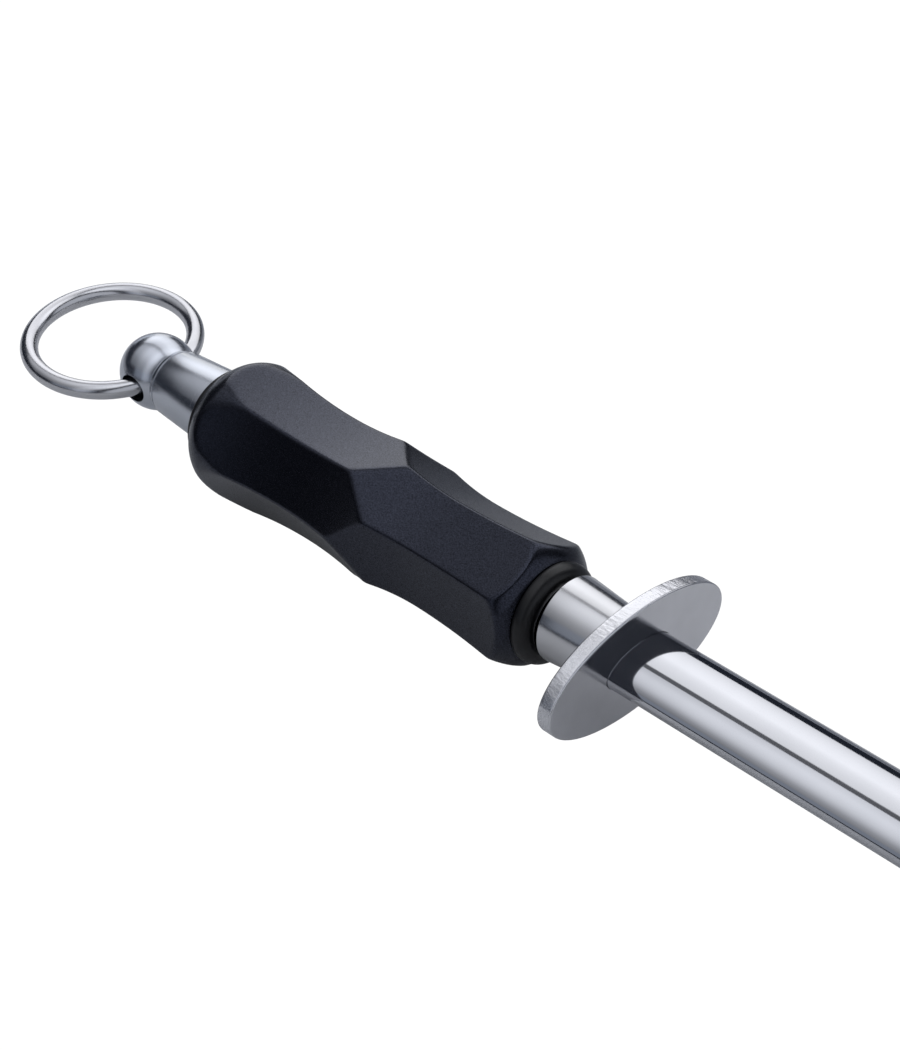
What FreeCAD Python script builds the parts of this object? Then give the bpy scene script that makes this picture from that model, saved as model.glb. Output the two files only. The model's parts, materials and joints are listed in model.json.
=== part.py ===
import FreeCAD, Part

import math
import os

import Sketcher

# Knife sharpening steel.
# X runs along the steel towards the tip of the rod, Y along the wide side of the oval guard and
# Z up. The origin is the centre of the guard's front face, where the rod leaves it.

V = FreeCAD.Vector
X_AXIS, Y_AXIS, Z_AXIS = V(1, 0, 0), V(0, 1, 0), V(0, 0, 1)

# Driving dimensions in millimetres and degrees: alias, value, meaning. A station is a distance
# behind the guard's front face.
DIMENSIONS = [
    ("rod_length", 300.0, "guard face to tip"),
    ("rod_width", 19.9, "wide way across the oval rod"),
    ("rod_height", 9.7, "narrow way across the oval rod"),
    ("rod_seat", 1.0, "depth of the rod's oval seat in the guard"),
    ("seat_gap", 0.1, "clearance round the rod in its seat"),
    ("tip_length", 9.0, "rounded tip"),
    ("tang_dia", 9.0, "plain tang"),
    ("tang_end", 118.8, "station where the plain tang ends and the thread begins"),
    ("thread_dia", 8.0, "threaded end of the tang, major diameter"),
    ("thread_end", 150.0, "station of the end of the thread"),
    ("thread_lead", 0.8, "chamfer at the end of the thread"),
    ("guard_length", 55.0, "long way across the guard"),
    ("guard_height", 27.0, "short way across the guard"),
    ("guard_thickness", 3.8, "thickness of the guard"),
    ("guard_edge", 0.35, "chamfer on both edges of the guard"),
    ("tang_bore", 9.3, "bores that the plain tang passes"),
    ("ferrule_front_dia", 18.0, "ferrule at the guard"),
    ("ferrule_rear_dia", 21.2, "ferrule at the front seal ring"),
    ("ferrule_end", 20.6, "station of the ferrule's rear face"),
    ("spigot_dia", 15.6, "ferrule's spigot inside the grip"),
    ("spigot_end", 31.6, "station of the end of the spigot"),
    ("front_ring_bore", 17.5, "bore of the front seal ring"),
    ("front_ring_centre", 19.0, "diameter of the circle that its round section is drawn about"),
    ("front_ring_section", 5.9, "diameter of that round section"),
    ("front_ring_station", 25.06, "station of the section's centre"),
    ("grip_shift_y", -0.66, "grip and seal rings sit off the tang's line, within their loose bores"),
    ("grip_shift_z", -0.54, "the same, down"),
    ("grip_turn", -4.2, "degrees that the grip's faces are turned from the guard's long way"),
    ("grip_front", 25.9, "station of the grip's front face"),
    ("grip_rear", 135.7, "station of the grip's rear face"),
    ("front_waist", 55.0, "station of the front half's waist"),
    ("front_waist_flat", 13.3, "centre to flat at the front waist"),
    ("front_flare_ahead", 248.0, "arc of the front half's faces ahead of the waist"),
    ("front_flare_behind", 86.0, "arc of the front half's faces behind the waist"),
    ("rear_waist", 98.3, "station of the rear half's waist"),
    ("rear_waist_flat", 14.1, "centre to flat at the rear waist"),
    ("rear_flare_ahead", 121.5, "arc of the rear half's faces ahead of the waist"),
    ("rear_flare_behind", 154.5, "arc of the rear half's faces behind the waist"),
    ("front_crown", 35.2, "station of the front shoulder's crown"),
    ("front_crown_radius", 17.5, "radius of that crown"),
    ("front_shoulder", 10.6, "arc of the front shoulder"),
    ("rear_crown", 128.0, "station of the rear shoulder's crown"),
    ("rear_crown_radius", 18.1, "radius of that crown"),
    ("rear_shoulder", 10.3, "arc of the rear shoulder"),
    ("front_land", 5.0, "straight land on the waist side of the front crown"),
    ("rear_land", 8.0, "straight land on the waist side of the rear crown"),
    ("blank_radius", 23.0, "turned blank between the crowns"),
    ("blank_slope", 7.0, "length of the slope up to the blank"),
    ("face_overrun", 2.0, "how far the cutting profiles reach past the blank"),
    ("end_gap", 0.2, "play at the ends of spigots and threads"),
    ("spigot_bore", 17.4, "grip's front counterbore"),
    ("grip_bore", 15.1, "grip's bore"),
    ("nut_bore", 18.0, "grip's rear counterbore"),
    ("nut_seat", 119.0, "station of the bottom of the rear counterbore"),
    ("sleeve_dia", 13.2, "outside of the tang sleeve"),
    ("washer_dia", 16.0, "clamp washer"),
    ("washer_hole", 8.4, "holes of washer, spring and nut round the thread"),
    ("washer_thickness", 1.6, "clamp washer"),
    ("spring_dia", 16.0, "disc spring"),
    ("spring_rise", 0.5, "cone height of the disc spring"),
    ("spring_sheet", 0.8, "sheet of the disc spring"),
    ("nut_flats", 13.0, "across the flats of the tang nut"),
    ("nut_thickness", 6.5, "tang nut"),
    ("rear_ring_dia", 26.8, "outside of the rear seal ring"),
    ("rear_ring_bore", 17.8, "bore of the rear seal ring"),
    ("rear_ring_thickness", 2.5, "rear seal ring"),
    ("knob_spigot_dia", 16.0, "knob's spigot inside the grip"),
    ("knob_spigot_start", 131.5, "station of the front of that spigot"),
    ("knob_bore_end", 152.0, "station of the bottom of the knob's threaded hole"),
    ("neck_front_dia", 20.6, "neck of the knob at the grip"),
    ("neck_rear_dia", 18.0, "neck of the knob at its lip"),
    ("neck_end", 158.6, "station of the groove between neck and lip"),
    ("groove_width", 0.4, "that groove"),
    ("groove_depth", 0.3, "that groove"),
    ("lip_end", 160.3, "station of the lip's rear edge"),
    ("lip_dia", 17.2, "lip before the ball"),
    ("ball_dia", 20.2, "ball of the knob"),
    ("ball_station", 167.5, "its centre"),
    ("ball_start", 161.2, "station where the ball begins"),
    ("cross_hole_dia", 7.8, "hole through the ball"),
    ("pivot_station", 166.55, "its centre line, about which the hanging ring swings"),
    ("ring_wire", 4.8, "wire of the hanging ring"),
    ("ring_radius", 21.9, "centre line of the hanging ring"),
    ("ring_reach", 20.65, "pivot to the centre of the hanging ring"),
    ("ring_lift", 4.0, "degrees that the ring stands up from the steel's line"),
]


class Term:
    """A length that carries both its number, to draw with, and its formula, to bind to."""

    def __init__(self, value, text=None):
        self.value = float(value)
        self.text = text or repr(float(value))

    def join(self, other, sign, value):
        return Term(value, f"({self.text} {sign} {as_term(other).text})")

    def __add__(self, other):
        return self.join(other, "+", self.value + as_term(other).value)

    def __sub__(self, other):
        return self.join(other, "-", self.value - as_term(other).value)

    def __mul__(self, other):
        return self.join(other, "*", self.value * as_term(other).value)

    def __truediv__(self, other):
        return self.join(other, "/", self.value / as_term(other).value)

    def __neg__(self):
        return Term(-self.value, f"(-{self.text})")

    def root(self):
        return Term(math.sqrt(self.value), f"sqrt({self.text})")


def as_term(value):
    return value if isinstance(value, Term) else Term(value)


def leg(long_side, short_side):
    """The other short side of a right-angled triangle."""
    return (long_side * long_side - short_side * short_side).root()


def rise(radius, run):
    """How far an arc has left its tangent after a run along it."""
    return radius - leg(radius, run)


doc = FreeCAD.newDocument("sharpening_steel")
sheet = doc.addObject("Spreadsheet::Sheet", "sizes")
size = {}
for row, (alias, value, meaning) in enumerate(DIMENSIONS, start=1):
    sheet.set(f"A{row}", alias)
    sheet.set(f"B{row}", str(value))
    sheet.setAlias(f"B{row}", alias)
    sheet.set(f"C{row}", meaning)
    size[alias] = Term(value, f"sizes.{alias}")
doc.recompute()


# Helpers


def bind(owner, property_name, term):
    owner.setExpression(property_name, as_term(term).text)


def new_body(node):
    body = doc.addObject("PartDesign::Body", node)
    body.Label = node
    return body


def new_sketch(body, role, name, lift=0, turn=0):
    """A sketch on one of the body's planes, lifted off it, or turned about its first axis."""
    sketch = body.newObject("Sketcher::SketchObject", name)
    plane = next(feature for feature in body.Origin.OriginFeatures if feature.Role == role)
    sketch.AttachmentSupport = [(plane, "")]
    sketch.MapMode = "FlatFace"
    sketch.AttachmentOffset = FreeCAD.Placement(V(0, 0, 0), FreeCAD.Rotation(X_AXIS, turn))
    bind(sketch, "AttachmentOffset.Base.z", lift)
    return sketch


def limit(sketch, term, kind, *where):
    """Add a constraint with a value that follows the sheet."""
    term = as_term(term)
    number = sketch.addConstraint(Sketcher.Constraint(kind, *where, term.value))
    bind(sketch, f"Constraints[{number}]", term)


def circle(sketch, diameter, x=0, y=0):
    diameter, x, y = as_term(diameter), as_term(x), as_term(y)
    centre = V(x.value, y.value, 0)
    shape = sketch.addGeometry(Part.Circle(centre, Z_AXIS, diameter.value / 2))
    limit(sketch, diameter, "Diameter", shape)
    if x.value == 0 and y.value == 0:
        sketch.addConstraint(Sketcher.Constraint("Coincident", shape, 3, -1, 1))
    else:
        limit(sketch, x, "DistanceX", -1, 1, shape, 3)
        limit(sketch, y, "DistanceY", -1, 1, shape, 3)


def oval(sketch, width, height):
    """An ellipse round the origin, as wide and as high as given."""
    width, height = as_term(width), as_term(height)
    shape = sketch.addGeometry(Part.Ellipse(V(0, 0, 0), width.value / 2, height.value / 2))
    sketch.exposeInternalGeometry(shape)
    long_axis, short_axis = shape + 1, shape + 2
    sketch.addConstraint(Sketcher.Constraint("Coincident", shape, 3, -1, 1))
    sketch.addConstraint(Sketcher.Constraint("Horizontal", long_axis))
    limit(sketch, width, "Distance", long_axis)
    limit(sketch, height, "Distance", short_axis)


def arc_between(start, end, radius):
    """Part arc from start to end, and whether it had to be drawn from end to start.

    The arc bulges to the right of the way from start to end, or to the left of it for a
    negative radius.
    """
    reach = abs(radius)
    chord = end - start
    middle = (start + end) * 0.5
    left = V(-chord.y, chord.x, 0).normalize()
    to_centre = math.sqrt(reach * reach - chord.Length * chord.Length / 4)
    centre = middle + left * math.copysign(to_centre, radius)
    ends = (start, end) if radius > 0 else (end, start)
    angles = [math.atan2(point.y - centre.y, point.x - centre.x) for point in ends]
    if angles[1] < angles[0]:
        angles[1] += 2 * math.pi
    return Part.ArcOfCircle(Part.Circle(centre, Z_AXIS, reach), *angles), radius < 0


def outline(sketch, corners, arcs=None):
    """A closed outline through the corners; arcs gives the radius of each side that is round."""
    arcs = arcs or {}
    corners = [(as_term(x), as_term(y)) for x, y in corners]
    points = [V(x.value, y.value, 0) for x, y in corners]
    sides = []
    for index, start in enumerate(points):
        end = points[(index + 1) % len(points)]
        if index in arcs:
            curve, backwards = arc_between(start, end, as_term(arcs[index]).value)
            side = sketch.addGeometry(curve)
            sides.append((side, 2, 1) if backwards else (side, 1, 2))
        else:
            side = sketch.addGeometry(Part.LineSegment(start, end))
            sides.append((side, 1, 2))
    for index, (side, first, last) in enumerate(sides):
        following, follow_first, _ = sides[(index + 1) % len(sides)]
        sketch.addConstraint(Sketcher.Constraint("Coincident", side, last, following, follow_first))
        x, y = corners[index]
        limit(sketch, x, "DistanceX", -1, 1, side, first)
        limit(sketch, y, "DistanceY", -1, 1, side, first)
    for index, radius in arcs.items():
        radius = as_term(radius)
        limit(sketch, radius if radius.value > 0 else -radius, "Radius", sides[index][0])


def add_pad(body, sketch, name, length, backwards=False):
    pad = body.newObject("PartDesign::Pad", name)
    pad.Profile = sketch
    pad.Reversed = backwards
    bind(pad, "Length", length)
    doc.recompute()
    return pad


def cut_pocket(body, sketch, name, depth, both_ways=False):
    """Cut along the sketch's normal, backwards from it, or half the depth each way."""
    before = body.Shape.Volume
    pocket = body.newObject("PartDesign::Pocket", name)
    pocket.Profile = sketch
    pocket.Midplane = both_ways
    bind(pocket, "Length", depth)
    doc.recompute()
    assert body.Shape.Volume < before, f"{name} cuts nothing"
    return pocket


def add_turned(body, sketch, name="turned"):
    turned = body.newObject("PartDesign::Revolution", name)
    turned.Profile = sketch
    turned.ReferenceAxis = (sketch, ["H_Axis"])
    turned.Angle = 360
    doc.recompute()
    return turned


def cut_turned(body, sketch, name="bores"):
    before = body.Shape.Volume
    groove = body.newObject("PartDesign::Groove", name)
    groove.Profile = sketch
    groove.ReferenceAxis = (sketch, ["H_Axis"])
    groove.Angle = 360
    doc.recompute()
    assert body.Shape.Volume < before, f"{name} cuts nothing"
    return groove


def edges_of(feature, wanted):
    return [f"Edge{number}" for number, edge in enumerate(feature.Shape.Edges, start=1) if wanted(edge)]


def dress(body, kind, feature, names, amount):
    """Fillet or chamfer edges of the last feature."""
    dressed = body.newObject(f"PartDesign::{kind}", kind.lower())
    dressed.Base = (feature, names)
    bind(dressed, "Radius" if kind == "Fillet" else "Size", amount)
    doc.recompute()
    return dressed


def round_plate(node, front, rear, outer, inner):
    """A tube, washer or ring between two stations."""
    body = new_body(node)
    section = new_sketch(body, "YZ_Plane", f"{node}_section", lift=-as_term(rear))
    circle(section, outer)
    circle(section, inner)
    add_pad(body, section, "length", as_term(rear) - front)
    return body


# The rod and what sits in front of the grip


def make_rod():
    body = new_body("sharpening_rod")
    section = new_sketch(body, "YZ_Plane", "rod_section", lift=-size["rod_seat"])
    oval(section, size["rod_width"], size["rod_height"])
    straight = size["rod_length"] - size["tip_length"]
    add_pad(body, section, "straight", straight + size["rod_seat"])

    tip = body.newObject("PartDesign::AdditiveEllipsoid", "tip")
    tip.AttachmentSupport = section.AttachmentSupport
    tip.MapMode = "FlatFace"
    tip.Angle1 = 0
    bind(tip, "AttachmentOffset.Base.z", straight)
    bind(tip, "Radius1", size["tip_length"])
    bind(tip, "Radius2", size["rod_width"] / 2)
    bind(tip, "Radius3", size["rod_height"] / 2)

    tang = new_sketch(body, "YZ_Plane", "tang_section", lift=-size["rod_seat"])
    circle(tang, size["tang_dia"])
    add_pad(body, tang, "tang", size["tang_end"] - size["rod_seat"], backwards=True)
    thread = new_sketch(body, "YZ_Plane", "thread_section", lift=-size["tang_end"])
    circle(thread, size["thread_dia"])
    pad = add_pad(body, thread, "thread", size["thread_end"] - size["tang_end"], backwards=True)
    end_x = -size["thread_end"].value
    rim = edges_of(pad, lambda edge: edge.Closed and abs(edge.CenterOfMass.x - end_x) < 1e-6)
    dress(body, "Chamfer", pad, rim, size["thread_lead"])
    return body


def make_guard():
    body = new_body("guard_plate")
    thickness = size["guard_thickness"]
    section = new_sketch(body, "YZ_Plane", "guard_outline", lift=-thickness)
    oval(section, size["guard_length"], size["guard_height"])
    plate = add_pad(body, section, "plate", thickness)
    rims = edges_of(plate, lambda edge: edge.Closed)
    dress(body, "Chamfer", plate, rims, size["guard_edge"])
    seat = new_sketch(body, "YZ_Plane", "seat_outline")
    gap = size["seat_gap"] * 2
    oval(seat, size["rod_width"] + gap, size["rod_height"] + gap)
    cut_pocket(body, seat, "rod_seat", size["rod_seat"])
    bore = new_sketch(body, "YZ_Plane", "bore_outline")
    circle(bore, size["tang_bore"])
    cut_pocket(body, bore, "tang_bore", thickness)
    return body


def make_ferrule():
    body = new_body("tapered_ferrule")
    front, rear, end = -size["guard_thickness"], -size["ferrule_end"], -size["spigot_end"]
    bore = size["tang_bore"] / 2
    corners = [
        (front, bore),
        (front, size["ferrule_front_dia"] / 2),
        (rear, size["ferrule_rear_dia"] / 2),
        (rear, size["spigot_dia"] / 2),
        (end, size["spigot_dia"] / 2),
        (end, bore),
    ]
    profile = new_sketch(body, "XZ_Plane", "ferrule_profile")
    outline(profile, corners)
    add_turned(body, profile)
    return body


def shift_with_grip(body):
    """Move a piece of the handle off the tang's line, as far as its loose bore lets it."""
    bind(body, "Placement.Base.y", size["grip_shift_y"])
    bind(body, "Placement.Base.z", size["grip_shift_z"])
    return body


def make_front_ring():
    body = new_body("front_seal_ring")
    section, centre = size["front_ring_section"] / 2, size["front_ring_centre"] / 2
    bore, middle, rear = size["front_ring_bore"] / 2, -size["front_ring_station"], -size["grip_front"]
    corners = [
        (rear, bore),
        (rear, centre + leg(section, middle - rear)),
        (middle + leg(section, centre - bore), bore),
    ]
    profile = new_sketch(body, "XZ_Plane", "bead_profile")
    outline(profile, corners, {1: -section})
    add_turned(body, profile)
    return shift_with_grip(body)


# The grip: a turned blank with two shoulders, six hollow faces cut into its front half and six
# into its rear half, turned by half a face, so that the two sets meet in a zigzag


def draw_blank(body):
    front_land, rear_land, slope = size["front_land"], size["rear_land"], size["blank_slope"]
    front, front_crown = size["grip_front"], size["front_crown"]
    rear, rear_crown = size["grip_rear"], size["rear_crown"]
    front_drop = rise(size["front_shoulder"], front_crown - front)
    rear_drop = rise(size["rear_shoulder"], rear - rear_crown)
    corners = [
        (-front, 0),
        (-front, size["front_crown_radius"] - front_drop),
        (-front_crown, size["front_crown_radius"]),
        (-front_crown - front_land, size["front_crown_radius"]),
        (-front_crown - front_land - slope, size["blank_radius"]),
        (-rear_crown + rear_land + slope, size["blank_radius"]),
        (-rear_crown + rear_land, size["rear_crown_radius"]),
        (-rear_crown, size["rear_crown_radius"]),
        (-rear, size["rear_crown_radius"] - rear_drop),
        (-rear, 0),
    ]
    arcs = {1: size["front_shoulder"], 7: size["rear_shoulder"]}
    blank = new_sketch(body, "XZ_Plane", "blank_profile")
    outline(blank, corners, arcs)
    add_turned(body, blank, "blank")


def cut_faces(body, name, half, ahead_run, behind_run, turn):
    """Cut one hollow face with two arcs that meet at the waist, then repeat it six times."""
    waist, flat = -size[f"{half}_waist"], size[f"{half}_waist_flat"]
    ahead, behind = size[f"{half}_flare_ahead"], size[f"{half}_flare_behind"]
    top = size["blank_radius"] + size["face_overrun"]
    corners = [
        (waist - behind_run, flat + rise(behind, behind_run)),
        (waist, flat),
        (waist + ahead_run, flat + rise(ahead, ahead_run)),
        (waist + ahead_run, top),
        (waist - behind_run, top),
    ]
    profile = new_sketch(body, "XZ_Plane", f"{name}_profile", turn=turn)
    outline(profile, corners, {0: behind, 1: ahead})
    pocket = cut_pocket(body, profile, name, size["blank_radius"] * 4, both_ways=True)
    pattern = body.newObject("PartDesign::PolarPattern", f"{name}_pattern")
    pattern.Originals = [pocket]
    pattern.Axis = (next(f for f in body.Origin.OriginFeatures if f.Role == "X_Axis"), [""])
    pattern.Angle = 360
    pattern.Occurrences = 6
    body.Tip = pattern
    doc.recompute()


def run_to(radius, height):
    """Run along an arc until it has risen by the height."""
    return leg(radius, radius - height)


def make_grip():
    body = new_body("handle_grip")
    draw_blank(body)
    over = size["face_overrun"]
    clear = size["blank_radius"] + over / 2
    front_ahead = size["front_waist"] - size["grip_front"] + over
    front_behind = run_to(size["front_flare_behind"], clear - size["front_waist_flat"])
    rear_ahead = run_to(size["rear_flare_ahead"], clear - size["rear_waist_flat"])
    rear_behind = size["grip_rear"] - size["rear_waist"] + over
    cut_faces(body, "rear_faces", "rear", rear_ahead, rear_behind, 0)
    cut_faces(body, "front_faces", "front", front_ahead, front_behind, 30)

    front, rear = -size["grip_front"] + over, -size["grip_rear"] - over
    spigot_seat, nut_seat = -size["spigot_end"] - size["end_gap"], -size["nut_seat"]
    corners = [
        (front, 0),
        (front, size["spigot_bore"] / 2),
        (spigot_seat, size["spigot_bore"] / 2),
        (spigot_seat, size["grip_bore"] / 2),
        (nut_seat, size["grip_bore"] / 2),
        (nut_seat, size["nut_bore"] / 2),
        (rear, size["nut_bore"] / 2),
        (rear, 0),
    ]
    bores = new_sketch(body, "XZ_Plane", "bore_profile")
    outline(bores, corners)
    cut_turned(body, bores)
    body.Placement = FreeCAD.Placement(V(0, 0, 0), FreeCAD.Rotation(X_AXIS, size["grip_turn"].value))
    body.setExpression("Placement.Rotation.Angle", "sizes.grip_turn")
    return shift_with_grip(body)


# What clamps the grip on the tang, hidden inside it


def make_disc_spring(front):
    body = new_body("disc_spring")
    sheet_thickness, cone = size["spring_sheet"], size["spring_rise"]
    inner, outer = size["washer_hole"] / 2, size["spring_dia"] / 2
    corners = [
        (-front - cone, inner),
        (-front, outer),
        (-front - sheet_thickness, outer),
        (-front - cone - sheet_thickness, inner),
    ]
    profile = new_sketch(body, "XZ_Plane", "spring_profile")
    outline(profile, corners)
    add_turned(body, profile)
    return body


def make_nut(front):
    prism = doc.addObject("Part::Prism", "nut_blank")
    prism.Polygon = 6
    hole = doc.addObject("Part::Cylinder", "nut_hole")
    for blank in (prism, hole):
        blank.Placement = FreeCAD.Placement(V(0, 0, 0), FreeCAD.Rotation(Y_AXIS, 90))
        bind(blank, "Placement.Base.x", -front - size["nut_thickness"])
        bind(blank, "Height", size["nut_thickness"])
    prism.setExpression("Circumradius", "sizes.nut_flats / 2 / cos(30)")
    bind(hole, "Radius", size["washer_hole"] / 2)
    nut = doc.addObject("Part::Cut", "tang_nut")
    nut.Label = "tang_nut"
    nut.Base = prism
    nut.Tool = hole
    return nut


# The knob and the ring that swings in it


def make_knob():
    body = new_body("end_knob")
    shoulder = -size["grip_rear"] - size["rear_ring_thickness"]
    start = -size["knob_spigot_start"]
    neck_end = -size["neck_end"]
    lip_start = neck_end - size["groove_width"]
    neck_rear = size["neck_rear_dia"] / 2
    ball = size["ball_dia"] / 2
    ball_foot = leg(ball, size["ball_station"] - size["ball_start"])
    corners = [
        (start, 0),
        (start, size["knob_spigot_dia"] / 2),
        (shoulder, size["knob_spigot_dia"] / 2),
        (shoulder, size["neck_front_dia"] / 2),
        (neck_end, neck_rear),
        (neck_end, neck_rear - size["groove_depth"]),
        (lip_start, neck_rear - size["groove_depth"]),
        (lip_start, neck_rear),
        (-size["lip_end"], size["lip_dia"] / 2),
        (-size["ball_start"], ball_foot),
        (-size["ball_station"] - ball, 0),
    ]
    profile = new_sketch(body, "XZ_Plane", "knob_profile")
    outline(profile, corners, {9: ball})
    add_turned(body, profile)
    thread = new_sketch(body, "YZ_Plane", "thread_outline", lift=start)
    circle(thread, size["thread_dia"] + size["end_gap"])
    cut_pocket(body, thread, "thread_hole", size["knob_bore_end"] - size["knob_spigot_start"])
    cross = new_sketch(body, "XZ_Plane", "cross_outline")
    circle(cross, size["cross_hole_dia"], x=-size["pivot_station"])
    cut_pocket(body, cross, "cross_hole", size["ball_dia"] * 2, both_ways=True)
    return body


def make_hanging_ring():
    ring = doc.addObject("Part::Torus", "hanging_ring")
    ring.Label = "hanging_ring"
    lift = size["ring_lift"].value
    ring.Placement = FreeCAD.Placement(V(0, 0, 0), FreeCAD.Rotation(Y_AXIS, lift))
    ring.setExpression("Placement.Rotation.Angle", "sizes.ring_lift")
    reach = "sizes.ring_reach"
    ring.setExpression("Placement.Base.x", f"-sizes.pivot_station - {reach} * cos(sizes.ring_lift)")
    ring.setExpression("Placement.Base.z", f"{reach} * sin(sizes.ring_lift)")
    bind(ring, "Radius1", size["ring_radius"])
    bind(ring, "Radius2", size["ring_wire"] / 2)
    return ring


def make_nodes():
    washer_rear = size["nut_seat"] + size["washer_thickness"]
    spring_rear = washer_rear + size["spring_rise"] + size["spring_sheet"]
    ring_rear = size["grip_rear"] + size["rear_ring_thickness"]
    spigot_end, nut_seat = size["spigot_end"], size["nut_seat"]
    hole = size["washer_hole"]
    return [
        make_rod(),
        make_guard(),
        make_ferrule(),
        make_front_ring(),
        make_grip(),
        round_plate("tang_sleeve", spigot_end, nut_seat, size["sleeve_dia"], size["tang_bore"]),
        round_plate("clamp_washer", nut_seat, washer_rear, size["washer_dia"], hole),
        make_disc_spring(washer_rear),
        make_nut(spring_rear),
        shift_with_grip(round_plate("rear_seal_ring", size["grip_rear"], ring_rear,
                                    size["rear_ring_dia"], size["rear_ring_bore"])),
        make_knob(),
        make_hanging_ring(),
    ]


def check_document():
    for item in doc.Objects:
        faults = [state for state in item.State if state in ("Invalid", "Error")]
        assert not faults, f"{item.Name} is {faults}"


nodes = make_nodes()
doc.recompute()
check_document()
os.makedirs("parts", exist_ok=True)
for node in nodes:
    shape = node.Shape
    assert not shape.isNull() and shape.isValid(), f"{node.Label} has no valid shape"
    assert len(shape.Solids) == 1, f"{node.Label} has {len(shape.Solids)} solids"
    shape.exportStep(f"parts/{node.Label}.step")
    box = shape.BoundBox
    print(f"{node.Label}: {shape.Volume:.0f} mm3, X {box.XMin:.2f} to {box.XMax:.2f},"
          f" Y {box.YMin:.2f} to {box.YMax:.2f}, Z {box.ZMin:.2f} to {box.ZMax:.2f}")
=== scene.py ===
import json
import math

import bmesh
import bpy
from mathutils import Matrix, Vector

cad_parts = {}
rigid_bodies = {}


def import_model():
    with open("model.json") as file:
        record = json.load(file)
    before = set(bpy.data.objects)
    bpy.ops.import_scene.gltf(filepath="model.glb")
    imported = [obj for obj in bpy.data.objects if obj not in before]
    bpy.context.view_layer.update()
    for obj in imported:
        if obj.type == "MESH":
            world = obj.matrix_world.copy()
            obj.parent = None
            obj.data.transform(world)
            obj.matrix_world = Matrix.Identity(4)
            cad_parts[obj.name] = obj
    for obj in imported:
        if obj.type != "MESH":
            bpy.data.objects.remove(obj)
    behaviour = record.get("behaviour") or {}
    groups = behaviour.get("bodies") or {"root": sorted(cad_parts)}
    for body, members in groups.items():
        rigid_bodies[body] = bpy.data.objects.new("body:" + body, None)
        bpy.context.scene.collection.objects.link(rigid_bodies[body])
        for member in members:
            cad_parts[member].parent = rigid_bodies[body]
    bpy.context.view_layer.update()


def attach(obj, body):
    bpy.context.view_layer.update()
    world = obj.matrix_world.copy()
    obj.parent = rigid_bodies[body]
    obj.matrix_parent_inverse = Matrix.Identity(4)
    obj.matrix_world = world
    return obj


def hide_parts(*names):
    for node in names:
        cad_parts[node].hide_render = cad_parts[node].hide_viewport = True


MM = 0.001
TAU = 2 * math.pi

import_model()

# ---------------------------------------------------------------- mesh helpers


def make_mesh(name, verts, faces):
    """A mesh object from points in millimetres."""
    mesh = bpy.data.meshes.new(name)
    mesh.from_pydata([Vector(v) * MM for v in verts], [], faces)
    mesh.validate()
    bm = bmesh.new()
    bm.from_mesh(mesh)
    bmesh.ops.remove_doubles(bm, verts=bm.verts, dist=1e-7)
    bmesh.ops.recalc_face_normals(bm, faces=bm.faces)
    bm.to_mesh(mesh)
    bm.free()
    mesh.shade_smooth()
    obj = bpy.data.objects.new(name, mesh)
    bpy.context.scene.collection.objects.link(obj)
    return obj


def loft(name, loops, closed_rows=False):
    """Skin a list of closed loops, each the same number of points; closed_rows joins the last to the first."""
    count = len(loops[0])
    verts = [point for loop in loops for point in loop]
    faces = []
    rows = len(loops) if closed_rows else len(loops) - 1
    for row in range(rows):
        a, b = row * count, ((row + 1) % len(loops)) * count
        for i in range(count):
            j = (i + 1) % count
            faces.append((a + i, a + j, b + j, b + i))
    return make_mesh(name, verts, faces)


def oval_loop(x, half_y, half_z, count):
    return [(x, half_y * math.cos(TAU * i / count), half_z * math.sin(TAU * i / count)) for i in range(count)]


def rounded(corners, steps=4):
    """Corners (x, r, fillet radius) of an open profile, with their fillets worked out."""
    points = []
    for i, (x, r, fillet) in enumerate(corners):
        here = Vector((x, r))
        if fillet == 0 or i in (0, len(corners) - 1):
            points.append((x, r))
            continue
        before = (Vector(corners[i - 1][:2]) - here).normalized()
        after = (Vector(corners[i + 1][:2]) - here).normalized()
        angle = before.angle(after)
        run = fillet / math.tan(angle / 2)
        centre = here + (before + after).normalized() * (fillet / math.sin(angle / 2))
        first, last = here + before * run, here + after * run
        a, b = first - centre, last - centre
        sweep = a.angle_signed(b)
        for step in range(steps + 1):
            turn = Matrix.Rotation(-sweep * step / steps, 2)
            point = centre + turn @ a
            points.append((point.x, point.y))
    return points


def lathe(name, profile, count=256, closed=False, axis=(0, 0)):
    """Turn a profile of (x, r) points about a line along X that passes through axis (y, z)."""
    loops = []
    for x, r in profile:
        loops.append([(x, y + axis[0], z + axis[1]) for _, y, z in oval_loop(x, r, r, count)])
    return loft(name, loops, closed_rows=closed)


def keep_sharp(obj, degrees=30):
    """Shade edges sharp where the faces meet at more than this angle."""
    mesh = obj.data
    bm = bmesh.new()
    bm.from_mesh(mesh)
    limit = math.radians(degrees)
    for edge in bm.edges:
        if len(edge.link_faces) == 2 and edge.calc_face_angle(0) > limit:
            edge.smooth = False
    bm.to_mesh(mesh)
    bm.free()


def cut(obj, cutter):
    """Subtract the cutter for good."""
    boolean = obj.modifiers.new("cut", "BOOLEAN")
    boolean.object = cutter
    boolean.operation = "DIFFERENCE"
    boolean.solver = "EXACT"
    graph = bpy.context.evaluated_depsgraph_get()
    mesh = bpy.data.meshes.new_from_object(obj.evaluated_get(graph))
    obj.modifiers.clear()
    old = obj.data
    obj.data = mesh
    mesh.name = old.name
    bpy.data.meshes.remove(old)
    bpy.data.objects.remove(cutter)


# ---------------------------------------------------------------- material helpers


def fill_ramp(ramp, stops):
    """Give a colour ramp its stops, each a place and either a grey or a colour."""
    while len(ramp.elements) < len(stops):
        ramp.elements.new(0.5)
    for element, (at, value) in zip(ramp.elements, stops):
        element.position = at
        colour = (value,) * 3 if isinstance(value, (int, float)) else value
        element.color = (*colour, 1)


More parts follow.
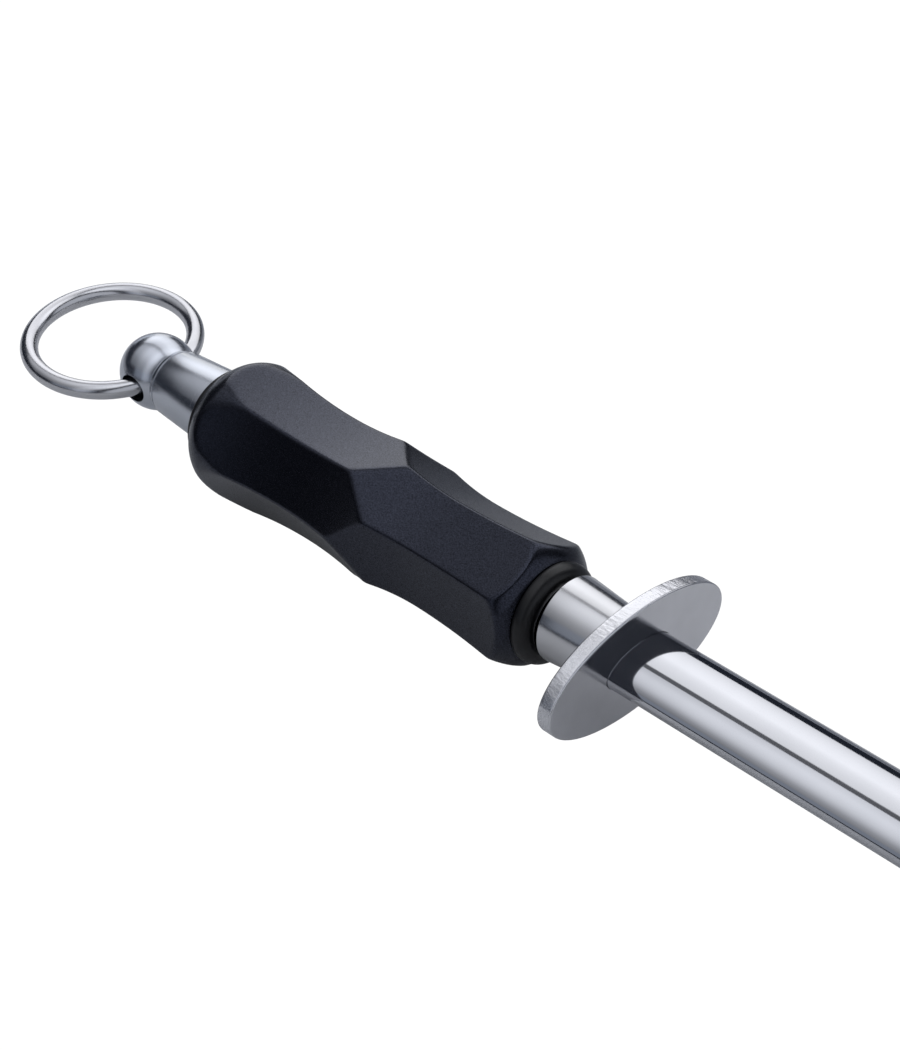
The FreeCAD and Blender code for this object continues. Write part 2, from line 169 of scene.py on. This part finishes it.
class Nodes:
    """Short calls for building a node material."""

    def __init__(self, name):
        self.material = bpy.data.materials.new(name)
        self.material.use_nodes = True
        self.tree = self.material.node_tree
        self.shader = self.tree.nodes["Principled BSDF"]
        self.place = self.tree.nodes.new("ShaderNodeTexCoord").outputs["Object"]

    def link(self, source, target):
        self.tree.links.new(source, target)

    def new(self, kind, **inputs):
        node = self.tree.nodes.new(kind)
        for key, value in inputs.items():
            target = node.inputs[key.replace("_", " ")]
            if hasattr(value, "is_output"):
                self.link(value, target)
            else:
                target.default_value = value
        return node

    def noise(self, scale, detail=3.0, stretch=(1, 1, 1), rough=0.55):
        place = self.new("ShaderNodeMapping", Vector=self.place, Scale=stretch).outputs["Vector"]
        node = self.new("ShaderNodeTexNoise", Vector=place, Scale=scale, Detail=detail, Roughness=rough)
        return node.outputs["Fac"]

    def ramp(self, source, stops):
        node = self.new("ShaderNodeValToRGB", Fac=source)
        fill_ramp(node.color_ramp, stops)
        return node.outputs["Color"]

    def spread(self, source, low, high, start, end):
        """Map the range from start to end onto low to high."""
        node = self.new("ShaderNodeMapRange", Value=source)
        for key, value in (("From Min", start), ("From Max", end), ("To Min", low), ("To Max", high)):
            node.inputs[key].default_value = value
        return node.outputs["Result"]

    def maths(self, kind, a, b=0.0):
        node = self.tree.nodes.new("ShaderNodeMath")
        node.operation = kind
        for slot, value in zip(node.inputs, (a, b)):
            if hasattr(value, "is_output"):
                self.link(value, slot)
            else:
                slot.default_value = value
        return node.outputs["Value"]

    def bump(self, height, distance, under=None):
        """A normal for a height in metres, added to the one under it."""
        node = self.new("ShaderNodeBump", Height=height, Distance=distance, Strength=1.0)
        if under is not None:
            self.link(under, node.inputs["Normal"])
        return node.outputs["Normal"]

    def finish(self, **inputs):
        for key, value in inputs.items():
            target = self.shader.inputs[key.replace("_", " ")]
            if hasattr(value, "is_output"):
                self.link(value, target)
            else:
                target.default_value = value
        return self.material


def paint(obj, material):
    obj.data.materials.clear()
    obj.data.materials.append(material)


def place_piece(obj, body, node, material):
    """Let the mesh ride on its body in place of the CAD node of that name."""
    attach(obj, body)
    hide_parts(node)
    paint(obj, material)


# ---------------------------------------------------------------- materials


def metal(name, colour, rough, line_depth=0.6e-6):
    """Turned steel: fine lines round the X axis, faint clouds in colour and gloss."""
    n = Nodes(name)
    lines = n.noise(1.0, 2.0, (6000, 40, 40))
    clouds = n.noise(90.0, 4.0)
    low, high = (tuple(c * depth for c in colour) for depth in (0.97, 1.03))
    tint = n.ramp(clouds, [(0.3, low), (0.7, high)])
    gloss = n.spread(n.maths("ADD", n.maths("MULTIPLY", lines, 0.5), n.maths("MULTIPLY", clouds, 0.5)),
                     rough * 0.8, rough * 1.25, 0.3, 0.7)
    normal = n.bump(lines, line_depth)
    return n.finish(Base_Color=tint, Metallic=1.0, Roughness=gloss, Normal=normal)


def polished():
    """Mirror finish with faint hairlines along the rod."""
    n = Nodes("polished_rod")
    clouds = n.noise(60.0, 4.0)
    hair = n.noise(1.0, 3.0, (25, 5200, 5200))
    tint = n.ramp(clouds, [(0.3, (0.535, 0.54, 0.56)), (0.7, (0.565, 0.57, 0.59))])
    gloss = n.spread(hair, 0.045, 0.085, 0.3, 0.7)
    return n.finish(Base_Color=tint, Metallic=1.0, Roughness=gloss, Normal=n.bump(hair, 0.12e-6))


def guard_face():
    """Satin face; the rim, told apart by its place along X, keeps blotchy marks from its machining."""
    n = Nodes("guard_satin")
    grain = n.noise(4200.0, 3.0)
    clouds = n.noise(160.0, 3.0)
    split = n.new("ShaderNodeSeparateXYZ", Vector=n.place)
    rim = n.maths("MULTIPLY", n.spread(split.outputs["X"], 1.0, 0.0, -0.0004, -0.0002),
                  n.spread(split.outputs["X"], 0.0, 1.0, -0.0037, -0.0035))
    marks = n.noise(420.0, 5.0, (0.4, 1, 1), rough=0.6)
    nicks = n.maths("MULTIPLY", rim, marks)
    tint = n.ramp(clouds, [(0.3, (0.64, 0.64, 0.66)), (0.7, (0.69, 0.69, 0.71))])
    gloss = n.maths("ADD", n.spread(grain, 0.12, 0.2, 0.3, 0.7), n.maths("MULTIPLY", rim, 0.12))
    normal = n.bump(nicks, 0.32e-3, under=n.bump(grain, 2.2e-6))
    return n.finish(Base_Color=tint, Metallic=1.0, Roughness=gloss, Normal=normal)


def black_plastic():
    """Moulded grain whose grains differ in shine."""
    n = Nodes("grip_plastic")
    grain = n.noise(4600.0, 2.0)
    specks = n.noise(3400.0, 3.0, rough=0.7)
    tint = n.ramp(specks, [(0.35, (0.0016, 0.0016, 0.0022)), (0.72, (0.0032, 0.0032, 0.0042))])
    gloss = n.spread(grain, 0.2, 0.29, 0.3, 0.7)
    shine = n.spread(specks, 0.22, 0.84, 0.34, 0.66)
    return n.finish(Base_Color=tint, Roughness=gloss, Normal=n.bump(grain, 7.0e-6), Specular_IOR_Level=shine,
                    Specular_Tint=(0.67, 0.73, 1.0, 1))


def black_rubber():
    n = Nodes("seal_rubber")
    grain = n.noise(3000.0, 2.0)
    clouds = n.noise(300.0, 3.0)
    tint = n.ramp(clouds, [(0.3, (0.002, 0.002, 0.003)), (0.7, (0.004, 0.004, 0.005))])
    gloss = n.spread(grain, 0.30, 0.40, 0.3, 0.7)
    return n.finish(Base_Color=tint, Roughness=gloss, Normal=n.bump(grain, 3.0e-6), Specular_IOR_Level=0.36)


# ---------------------------------------------------------------- the rod

ROD_TIP, ROD_ROUND = 300.0, 9.0
ROD_Y, ROD_Z, SEAT = 9.95, 4.85, 1.0
TANG_R, TANG_END, TANG_BORE = 4.5, -118.8, 4.65
THREAD_R, THREAD_END, THREAD_LEAD = 4.0, -150.0, 0.8
FINE = 384  # points round the rod and the guard


def make_rod():
    loops = []
    for x, r in ((THREAD_END, 0.001), (THREAD_END, THREAD_R - THREAD_LEAD),
                 (THREAD_END + THREAD_LEAD, THREAD_R), (TANG_END, THREAD_R), (TANG_END, TANG_R),
                 (-SEAT, TANG_R)):
        loops.append(oval_loop(x, r, r, FINE))
    edge = 0.05
    loops.append(oval_loop(-SEAT, ROD_Y - edge, ROD_Z - edge, FINE))
    loops.append(oval_loop(-SEAT + edge, ROD_Y, ROD_Z, FINE))
    straight, spans, tip_steps = ROD_TIP - ROD_ROUND, 30, 32
    for i in range(spans + 1):
        loops.append(oval_loop(straight * i / spans, ROD_Y, ROD_Z, FINE))
    for i in range(1, tip_steps + 1):
        a = math.pi / 2 * i / tip_steps
        k = max(math.cos(a), 1e-4)
        loops.append(oval_loop(straight + ROD_ROUND * math.sin(a), ROD_Y * k, ROD_Z * k, FINE))
    rod = loft("rod", loops)
    keep_sharp(rod)
    place_piece(rod, "steel", "sharpening_rod", polished())


# ---------------------------------------------------------------- the guard

GUARD_Y, GUARD_Z, GUARD_BACK = 27.5, 13.5, -3.8


def make_guard():
    gap, rim, edge = 0.1, 0.35, 0.08
    quarter = [math.pi / 2 * step / 4 for step in range(1, 5)]

    def outline(x, inset):
        loops.append(oval_loop(x, GUARD_Y - inset, GUARD_Z - inset, FINE))

    loops = [oval_loop(GUARD_BACK, TANG_BORE, TANG_BORE, FINE)]
    for inset in (8.0, 4.0, 1.0, rim):
        outline(GUARD_BACK, inset)
    for a in quarter:
        outline(GUARD_BACK + rim * (1 - math.cos(a)), rim * (1 - math.sin(a)))
    for step in range(1, 7):
        outline(GUARD_BACK + rim + (-GUARD_BACK - 2 * rim) * step / 6, 0)
    for a in quarter:
        outline(-rim * (1 - math.sin(a)), rim * (1 - math.cos(a)))
    for inset in (1.0, 3.0):
        outline(0, inset)
    loops.append(oval_loop(0, ROD_Y + gap + edge, ROD_Z + gap + edge, FINE))
    loops.append(oval_loop(-edge, ROD_Y + gap, ROD_Z + gap, FINE))
    loops.append(oval_loop(-SEAT, ROD_Y + gap, ROD_Z + gap, FINE))
    loops.append(oval_loop(-SEAT, TANG_BORE, TANG_BORE, FINE))
    guard = loft("guard", loops, closed_rows=True)
    keep_sharp(guard)
    place_piece(guard, "steel", "guard_plate", guard_face())


# ---------------------------------------------------------------- the ferrule and the seal rings

FERRULE_END, SPIGOT_END, SPIGOT_R = -20.6, -31.6, 7.8


def make_ferrule():
    profile = rounded([
        (SPIGOT_END, TANG_BORE, 0), (GUARD_BACK, TANG_BORE, 0), (GUARD_BACK, 9.0, 0.15),
        (FERRULE_END, 10.6, 0.3), (FERRULE_END, SPIGOT_R, 0.1), (SPIGOT_END, SPIGOT_R, 0.2),
        (SPIGOT_END, TANG_BORE, 0)])[:-1]
    ferrule = lathe("ferrule", profile, 320, closed=True)
    keep_sharp(ferrule)
    place_piece(ferrule, "steel", "tapered_ferrule",
                metal("ferrule_steel", (0.58, 0.58, 0.59), 0.19, line_depth=2.0e-6))


GRIP_AXIS, GRIP_TURN = (-0.66, -0.54), math.radians(-4.2)
GRIP_FRONT, GRIP_REAR = -25.9, -135.7
REAR_RING_END, REAR_RING_R, REAR_RING_BORE = -138.2, 13.4, 8.9


def make_front_bead():
    """A round section cut off flat, just clear of the grip's front face."""
    centre_x, centre_r, section, bore, steps = -25.06, 9.5, 2.95, 8.75, 40
    flat = GRIP_FRONT + 0.02
    start = math.acos((flat - centre_x) / section)
    end = -math.asin((centre_r - bore) / section)
    profile = [(flat, bore), (flat, 10.5)]
    for i in range(steps + 1):
        a = start + (end - start) * i / steps
        profile.append((centre_x + section * math.cos(a), centre_r + section * math.sin(a)))
    bead = lathe("front_bead", profile, 256, closed=True, axis=GRIP_AXIS)
    keep_sharp(bead)
    place_piece(bead, "steel", "front_seal_ring", black_rubber())


def make_rear_ring():
    profile = rounded([
        (GRIP_REAR, REAR_RING_BORE, 0), (GRIP_REAR, REAR_RING_R, 0.3), (REAR_RING_END, REAR_RING_R, 0.6),
        (REAR_RING_END, REAR_RING_BORE, 0.2), (GRIP_REAR, REAR_RING_BORE, 0)])[:-1]
    ring = lathe("rear_ring", profile, 256, closed=True, axis=GRIP_AXIS)
    keep_sharp(ring)
    place_piece(ring, "steel", "rear_seal_ring", black_rubber())


# ---------------------------------------------------------------- the grip

FRONT_HALF = {"waist": -55.0, "flat": 13.3, "ahead": 248.0, "behind": 86.0, "turn": 30}
REAR_HALF = {"waist": -98.3, "flat": 14.1, "ahead": 121.5, "behind": 154.5, "turn": 0}
FRONT_CROWN = {"at": -35.2, "radius": 17.5, "shoulder": 10.6, "land": 5.0}
REAR_CROWN = {"at": -128.0, "radius": 18.1, "shoulder": 10.3, "land": 8.0}
BLANK, SLOPE = 23.0, 7.0
NUT_SEAT, NUT_BORE, GRIP_BORE = -119.0, 9.0, 7.55
COUNTERBORE_END, COUNTERBORE = -31.8, 8.7
SOFT_EDGE = 70.0  # the higher, the sharper the edges between the flats


def arc_rise(radius, run):
    """How far an arc has bent away from its tangent after a run along it."""
    return radius if run >= radius else radius - math.sqrt(radius * radius - run * run)


def flat_distance(half, x):
    """Distance of a half's hollow faces from the grip's line, least at its waist."""
    run = x - half["waist"]
    return half["flat"] + arc_rise(half["ahead"] if run > 0 else half["behind"], abs(run))


def blank_radius(x):
    """The turned blank under the flats: two shoulders, and a fatter middle that never shows."""
    front, rear = x - FRONT_CROWN["at"], REAR_CROWN["at"] - x
    if front > 0:
        return FRONT_CROWN["radius"] - arc_rise(FRONT_CROWN["shoulder"], front)
    if rear > 0:
        return REAR_CROWN["radius"] - arc_rise(REAR_CROWN["shoulder"], rear)
    for crown, run in ((FRONT_CROWN, -front), (REAR_CROWN, -rear)):
        past = run - crown["land"]
        if past < SLOPE:
            return crown["radius"] + (BLANK - crown["radius"]) * max(past, 0) / SLOPE
    return BLANK


def grip_radius(x, turn):
    """The smallest of the turned blank and twelve flats, with a soft edge between them."""
    total = blank_radius(x) ** -SOFT_EDGE
    for half in (FRONT_HALF, REAR_HALF):
        distance = flat_distance(half, x)
        for k in range(6):
            facing = math.cos(turn - math.radians(half["turn"] + 60 * k))
            if facing > 0.6:  # the others are too far off to matter
                total += (facing / distance) ** SOFT_EDGE
    return total ** (-1 / SOFT_EDGE)


def make_grip():
    """Each row holds its place along X, a fixed radius or None for the outside, and how far to stay inside."""
    count, step, edge, edge_steps = 420, 0.4, 0.8, 6
    rows = [(GRIP_FRONT, 9.0, 0), (GRIP_FRONT, 10.5, 0)]
    for i in range(edge_steps + 1):
        a = math.pi / 2 * i / edge_steps
        rows.append((GRIP_FRONT - edge * (1 - math.cos(a)), None, edge * (1 - math.sin(a))))
    x = GRIP_FRONT - edge - step
    while x > GRIP_REAR + edge + step / 2:
        rows.append((x, None, 0))
        x -= step
    for i in range(edge_steps + 1):
        a = math.pi / 2 * (edge_steps - i) / edge_steps
        rows.append((GRIP_REAR + edge * (1 - math.cos(a)), None, edge * (1 - math.sin(a))))
    rows += [(GRIP_REAR, 11.0, 0), (GRIP_REAR, NUT_BORE, 0), (NUT_SEAT, NUT_BORE, 0),
             (NUT_SEAT, GRIP_BORE, 0), (COUNTERBORE_END, GRIP_BORE, 0), (COUNTERBORE_END, COUNTERBORE, 0),
             (GRIP_FRONT, COUNTERBORE, 0)]
    loops = []
    for x, fixed, inset in rows:
        loop = []
        for i in range(count):
            turn = TAU * i / count
            r = (grip_radius(x, turn) if fixed is None else fixed) - inset
            seen = turn + GRIP_TURN
            loop.append((x, GRIP_AXIS[0] - r * math.sin(seen), GRIP_AXIS[1] + r * math.cos(seen)))
        loops.append(loop)
    grip = loft("grip", loops, closed_rows=True)
    keep_sharp(grip, 40)
    place_piece(grip, "steel", "handle_grip", black_plastic())


# ---------------------------------------------------------------- the knob and its ring

PIVOT, CROSS_HOLE_R = -166.55, 3.9
BALL_X, BALL_R, BALL_START = -167.5, 10.1, -161.2
KNOB_FRONT, KNOB_BORE_END, KNOB_BORE = -131.5, -152.0, 4.1
NECK_END, LIP_START, LIP_END = -158.6, -159.0, -160.3
RING_R, RING_WIRE_R, RING_REACH, RING_LIFT = 21.9, 2.4, 20.65, math.radians(4.0)


def make_cross_hole():
    """A rod-shaped cutter along Y through the ball."""
    count, reach = 128, 20
    circle = [(CROSS_HOLE_R * math.cos(TAU * i / count), CROSS_HOLE_R * math.sin(TAU * i / count))
              for i in range(count)]
    verts = [(PIVOT + x, y, z) for y in (-reach, reach) for x, z in circle]
    faces = [(i, (i + 1) % count, count + (i + 1) % count, count + i) for i in range(count)]
    faces += [tuple(range(count)), tuple(range(2 * count - 1, count - 1, -1))]
    return make_mesh("cutter", verts, faces)


def make_knob():
    head = rounded([
        (KNOB_BORE_END, 0.001, 0), (KNOB_BORE_END, KNOB_BORE, 0.1), (KNOB_FRONT, KNOB_BORE, 0.2),
        (KNOB_FRONT, 8.0, 0.3), (REAR_RING_END, 8.0, 0), (REAR_RING_END, 10.3, 0.2), (NECK_END, 9.0, 0.08),
        (NECK_END, 8.7, 0.05), (LIP_START, 8.7, 0.05), (LIP_START, 9.0, 0.12), (LIP_END, 8.6, 0.1),
        (BALL_START, 7.89, 0)])
    ball, ball_steps = [], 64
    start = math.acos((BALL_START - BALL_X) / BALL_R)
    for i in range(1, ball_steps + 1):
        a = start + (math.pi - start) * i / ball_steps
        ball.append((BALL_X + BALL_R * math.cos(a), max(BALL_R * math.sin(a), 0.001)))
    knob = lathe("knob", head + ball, 320)
    cut(knob, make_cross_hole())
    keep_sharp(knob)
    material = metal("knob_steel", (0.49, 0.51, 0.55), 0.23)
    place_piece(knob, "steel", "end_knob", material)


def ring_steel():
    n = Nodes("ring_steel")
    clouds = n.noise(150.0, 4.0)
    fine = n.noise(2500.0, 3.0)
    tint = n.ramp(clouds, [(0.3, (0.48, 0.48, 0.50)), (0.7, (0.52, 0.52, 0.53))])
    gloss = n.spread(fine, 0.17, 0.23, 0.3, 0.7)
    return n.finish(Base_Color=tint, Metallic=1.0, Roughness=gloss, Normal=n.bump(fine, 0.25e-6))


def make_ring():
    centre = Vector((PIVOT - RING_REACH * math.cos(RING_LIFT), 0, RING_REACH * math.sin(RING_LIFT)))
    turn = Matrix.Rotation(RING_LIFT, 3, "Y")
    rounds, section = 360, 40
    loops = []
    for i in range(rounds):
        a = TAU * i / rounds
        out = Vector((math.cos(a), math.sin(a), 0))
        loop = []
        for k in range(section):
            b = TAU * k / section
            point = out * (RING_R + RING_WIRE_R * math.cos(b)) + Vector((0, 0, RING_WIRE_R * math.sin(b)))
            loop.append(tuple(centre + turn @ point))
        loops.append(loop)
    ring = loft("ring", loops, closed_rows=True)
    place_piece(ring, "ring", "hanging_ring", ring_steel())


make_rod()
make_guard()
make_ferrule()
make_front_bead()
make_grip()
make_rear_ring()
make_knob()
make_ring()

inner = metal("inner_steel", (0.55, 0.55, 0.56), 0.3)
for node in ("tang_sleeve", "clamp_washer", "disc_spring", "tang_nut"):
    for obj in bpy.data.objects:
        if obj.name == node:
            for slot in obj.material_slots:
                slot.material = inner

# ---------------------------------------------------------------- the stage

FLOOR = -19.0
BAY = 900  # distance of the softboxes from the steel


def make_plane(name, z):
    reach = 3000.0
    verts = [(x, y, z) for x, y in ((-reach, -reach), (reach, -reach), (reach, reach), (-reach, reach))]
    plane = make_mesh(name, verts, [(0, 1, 2, 3)])
    return plane


def make_floor():
    """The photograph is cut out on plain white, so the floor seen directly glows, shows no shadow and is
    see-through from below; a matt table in the same place, with painted shade behind the steel, gives the
    reflections."""
    seen = make_plane("floor", FLOOR - 0.05)
    n = Nodes("floor")
    above = n.maths("SUBTRACT", 1.0, n.new("ShaderNodeNewGeometry").outputs["Backfacing"])
    paint(seen, n.finish(Base_Color=(0, 0, 0, 1), Roughness=1.0, Specular_IOR_Level=0.0, Alpha=above,
                         Emission_Color=(1, 1, 1, 1), Emission_Strength=1.05))
    seen.visible_diffuse = seen.visible_glossy = seen.visible_transmission = seen.visible_shadow = False
    matt = make_plane("floor_bounce", FLOOR)
    n = Nodes("floor_bounce")
    split = n.new("ShaderNodeSeparateXYZ", Vector=n.place)
    # painted shade: past Y 55 to 95 mm behind the steel the table's colour blends to a dark blue-grey, shade
    # painted in where the light on the table falls off
    behind = n.spread(split.outputs["Y"], 0.0, 1.0, 0.055, 0.095)
    grain = n.ramp(n.noise(8.0, 2.0), [(0.3, (0.72, 0.735, 0.765)), (0.7, (0.775, 0.79, 0.82))])
    shade = n.new("ShaderNodeMixRGB", Fac=behind, Color1=grain, Color2=(0.29, 0.31, 0.36, 1))
    paint(matt, n.finish(Base_Color=shade.outputs["Color"], Roughness=1.0, Specular_IOR_Level=0.0,
                         Emission_Color=(1, 1, 1, 1), Emission_Strength=0.04))
    matt.visible_camera = False


def make_softbox(name, rolls, start, end, levels, along=((0, 1), (1, 1)), colour=(1, 1, 1)):
    """A flat softbox parallel to the steel. Rolls are directions about the steel, from up towards the
    viewer; levels gives its brightness by roll, and along by distance from its rear end to its front end."""
    low, high = (math.radians(v) for v in rolls)
    middle, half = (low + high) / 2, (high - low) / 2
    width, length = 2 * BAY * math.tan(half), end - start
    light = bpy.data.lights.new(name, "AREA")
    light.shape = "RECTANGLE"
    light.size, light.size_y = length * MM, width * MM
    peak = max(level for _, level in levels)
    light.energy = peak * (length * MM) * (width * MM) * math.pi
    light.color = colour
    light.use_nodes = True
    tree = light.node_tree
    emission = next(node for node in tree.nodes if node.type == "EMISSION")
    spot = tree.nodes.new("ShaderNodeSeparateXYZ")
    tree.links.new(tree.nodes.new("ShaderNodeNewGeometry").outputs["Parametric"], spot.inputs["Vector"])
    product = tree.nodes.new("ShaderNodeMath")
    product.operation = "MULTIPLY"
    across = [(0.5 - BAY * math.tan(math.radians(roll) - middle) / width, level / peak)
              for roll, level in reversed(levels)]
    for slot, axis, stops in ((0, "Y", across), (1, "X", along)):
        ramp = tree.nodes.new("ShaderNodeValToRGB")
        fill_ramp(ramp.color_ramp, stops)
        tree.links.new(spot.outputs[axis], ramp.inputs["Fac"])
        tree.links.new(ramp.outputs["Color"], product.inputs[slot])
    tree.links.new(product.outputs["Value"], emission.inputs["Strength"])
    out = Vector((0, -math.sin(middle), math.cos(middle)))
    side = Vector((1, 0, 0))
    obj = bpy.data.objects.new(name, light)
    place = Vector(((start + end) / 2, 0, 0)) + out * BAY
    turn = Matrix((side, out.cross(side), out)).transposed()
    obj.matrix_world = Matrix.Translation(place * MM) @ turn.to_4x4()
    obj.visible_camera = False
    bpy.context.scene.collection.objects.link(obj)


def make_world(dim, pale, seen):
    """Dim behind the handle and in one band towards the tip, where the dark reflections in the photograph
    lie, pale elsewhere past the ends of the softboxes, and plain white where it is seen directly."""
    world = bpy.data.worlds.new("studio")
    world.use_nodes = True
    tree = world.node_tree
    split = tree.nodes.new("ShaderNodeSeparateXYZ")
    tree.links.new(tree.nodes.new("ShaderNodeTexCoord").outputs["Generated"], split.inputs["Vector"])
    ramp = tree.nodes.new("ShaderNodeValToRGB")
    grey = [(a + b) / 2 for a, b in zip(dim, pale)]
    stops = ((0.02, dim), (0.08, grey), (0.32, grey), (0.40, dim), (0.60, dim), (0.67, pale))
    fill_ramp(ramp.color_ramp, stops)
    tree.links.new(split.outputs["X"], ramp.inputs["Fac"])
    mix = tree.nodes.new("ShaderNodeMixRGB")
    tree.links.new(tree.nodes.new("ShaderNodeLightPath").outputs["Is Camera Ray"], mix.inputs["Fac"])
    tree.links.new(ramp.outputs["Color"], mix.inputs["Color1"])
    mix.inputs["Color2"].default_value = (*seen, 1)
    tree.links.new(mix.outputs["Color"], tree.nodes["Background"].inputs["Color"])
    bpy.context.scene.world = world
    world.cycles_visibility.diffuse = False


def make_camera():
    """The photograph's camera, fitted to the steel's outlines."""
    camera = bpy.data.cameras.new("camera")
    camera.sensor_fit = "HORIZONTAL"
    camera.sensor_width, camera.lens = 36, 88
    camera.clip_start, camera.clip_end = 0.01, 20
    obj = bpy.data.objects.new("camera", camera)
    right = Vector((0.69285, 0.71802, -0.06635))
    up = Vector((-0.41153, 0.46930, 0.78128))
    back = Vector((0.59212, -0.51401, 0.62064))
    turn = Matrix((right, up, back)).transposed()
    obj.matrix_world = Matrix.Translation(Vector((239.53, -258.08, 318.39)) * MM) @ turn.to_4x4()
    bpy.context.scene.collection.objects.link(obj)
    bpy.context.scene.camera = obj


# Brightness by roll, and along each softbox from its rear end to its front end
BACK = [(-72, 1.35), (-60, 1.68), (-50, 1.85), (-43, 1.9), (-35, 1.64), (-27, 1.48), (-19, 1.36),
        (-18.4, 0.16), (-12.2, 0.16)]
BACK_ALONG = ((0, 1), (0.239, 1), (0.573, 0.81), (1, 0.81))
TOP = [(-12, 1.02), (0, 1.17), (6, 1.14), (12, 1.07), (20, 0.95), (28, 0.78), (36, 0.6), (44, 0.45),
       (56, 0.34), (62, 0.31)]
TOP_ALONG = ((0, 0.6), (0.382, 0.6), (0.592, 1), (1, 1))
FILL = [(62, 0.3), (84, 0.28)]
REAR = [(-112, 1.2), (-72, 1.2)]
END = [(-112, 0.8), (-60, 0.8)]

make_floor()
make_softbox("back_softbox", (-72, -12.2), -1500, 280, BACK, BACK_ALONG, (0.99, 1.0, 1.035))
make_softbox("top_softbox", (-12, 62), -1500, 280, TOP, TOP_ALONG, (0.98, 1.0, 1.055))
make_softbox("front_fill", (62, 84), -560, 300, FILL, colour=(0.86, 0.94, 1.1))
make_softbox("rear_softbox", (-112, -72), -1500, -900, REAR)
make_softbox("end_softbox", (-112, -60), -4500, -1500, END, colour=(0.9, 0.95, 1.05))
make_world((0.02, 0.024, 0.036), (0.66, 0.69, 0.76), (1.05, 1.05, 1.05))
make_camera()
bpy.context.scene.view_settings.view_transform = "Standard"
